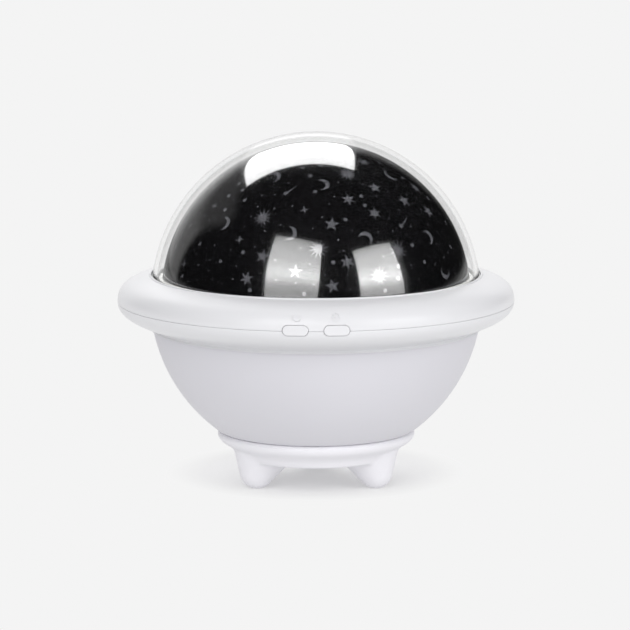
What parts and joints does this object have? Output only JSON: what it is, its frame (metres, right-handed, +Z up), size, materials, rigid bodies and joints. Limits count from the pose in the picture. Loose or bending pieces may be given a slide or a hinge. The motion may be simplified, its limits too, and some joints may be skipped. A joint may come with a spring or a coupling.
{
  "type": "star night light projector",
  "caption": "Saucer-shaped night light with a turning star dome under a clear cover, two push buttons, a glowing bowl and rounded feet.",
  "frame": {"origin": "on the ground, under the middle of the saucer", "axes": "+Z up, the two buttons face -Y, the charging inlet faces +Y"},
  "size_m": [0.16, 0.1601, 0.1424],
  "materials": {
    "base_white": "fine satin moulded ABS",
    "bowl_milky": "milky translucent polypropylene, satin",
    "saucer_white": "smooth moulded ABS, semi-gloss",
    "button_white": "smooth moulded ABS, semi-gloss",
    "cover_clear": "clear polystyrene, polished",
    "film_black": "black film, glossy",
    "carrier_clear": "clear smoked polystyrene",
    "inner_white": "moulded ABS, satin",
    "gear_ivory": "moulded acetal",
    "pinion_brass": "hobbed brass",
    "steel_zinc": "zinc-plated steel",
    "spring_steel": "ground steel",
    "motor_can": "plated steel can",
    "inlet_steel": "stamped stainless steel",
    "board_white": "white solder resist",
    "board_green": "green solder resist",
    "lamp_phosphor": "phosphor under clear silicone",
    "black_plastic": "black moulded plastic",
    "cell_wrap": "shrink sleeve",
    "wire_red": "PVC insulation"
  },
  "bodies": {
    "housing": {"base_foot_ring": "base_white", "base_screws": "steel_zinc", "bowl_diffuser": "bowl_milky", "saucer_bottom": "saucer_white", "saucer_top": "saucer_white", "deck_plate": "inner_white", "deck_screws": "steel_zinc", "lamp_column": "inner_white", "hub_retainer": "spring_steel", "star_lamp_board": "board_white", "star_leds": "lamp_phosphor", "gear_motor": "motor_can", "motor_screws": "steel_zinc", "glow_lamp_board": "board_white", "glow_leds": "lamp_phosphor", "main_board": "board_green", "main_board_parts": "black_plastic", "main_board_screws": "steel_zinc", "button_board": "board_green", "switch_bodies": "black_plastic", "inlet_shell": "inlet_steel", "inlet_tongue": "black_plastic", "inlet_board": "board_green", "battery_cell": "cell_wrap", "battery_cradle": "inner_white", "wiring": "wire_red"},
    "cover": {"cover_dome": "cover_clear"},
    "star_dome": {"star_film": "film_black", "star_carrier": "carrier_clear", "turntable_disc": "inner_white", "turntable_gear": "gear_ivory", "gear_screws": "steel_zinc"},
    "pinion": {"motor_shaft": "spring_steel", "motor_pinion": "pinion_brass"},
    "light_key": {"light_button": "button_white", "light_switch_plunger": "black_plastic"},
    "spin_key": {"spin_button": "button_white", "spin_switch_plunger": "black_plastic"}
  },
  "joints": [
    {"name": "cover_lift", "type": "slide", "parent": "housing", "child": "cover", "axis": [0, 0, 1], "range_m": [0, 0.07]},
    {"name": "star_turn", "type": "hinge", "parent": "housing", "child": "star_dome", "pos_m": [0, 0, 0.0844], "axis": [0, 0, 1], "continuous": true},
    {"name": "pinion_turn", "type": "hinge", "parent": "housing", "child": "pinion", "pos_m": [-0.0372, 0, 0.0806], "axis": [0, 0, 1], "continuous": true},
    {"name": "light_press", "type": "slide", "parent": "housing", "child": "light_key", "axis": [0.1, 0.995, 0], "range_m": [0, 0.0006], "stiffness_N_per_m": 800},
    {"name": "spin_press", "type": "slide", "parent": "housing", "child": "spin_key", "axis": [-0.1, 0.995, 0], "range_m": [0, 0.0006], "stiffness_N_per_m": 800}
  ],
  "couplings": [
    {"joint": "pinion_turn", "follows": "star_turn", "ratio": -4.1667}
  ]
}
